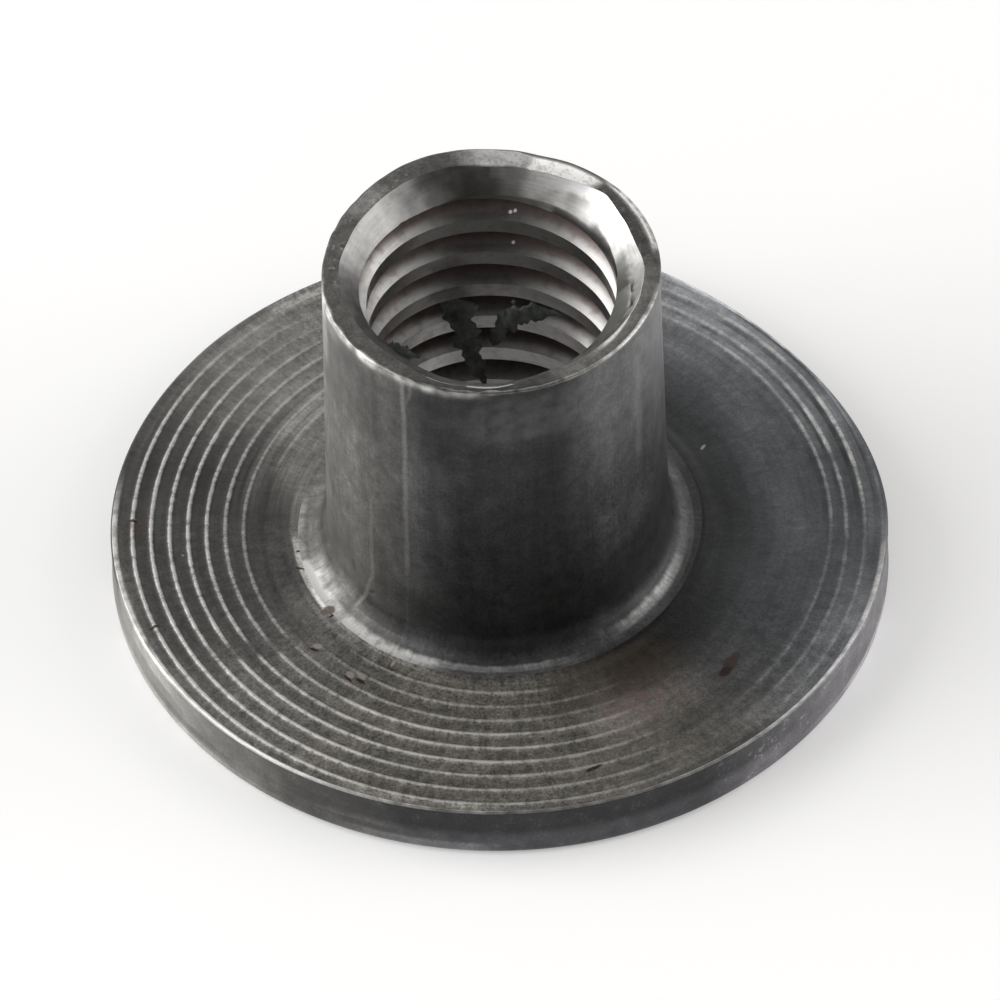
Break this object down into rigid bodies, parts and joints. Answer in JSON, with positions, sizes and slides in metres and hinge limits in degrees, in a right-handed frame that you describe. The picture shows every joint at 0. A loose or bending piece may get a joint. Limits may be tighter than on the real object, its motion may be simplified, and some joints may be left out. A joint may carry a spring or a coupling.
{
  "type": "tee nut",
  "caption": "Round-flanged tee nut with a countersunk threaded barrel and turned rings on the flange's face.",
  "frame": {"origin": "middle of the flange's underside, on the bore's axis", "axes": "+Z along the bore's axis, from the flange up the barrel; the part is round, so +X and +Y are free"},
  "size_m": [0.021, 0.021, 0.0118],
  "materials": {
    "steel": "satin"
  },
  "bodies": {
    "root": {"tee_nut": "steel"}
  },
  "joints": []
}
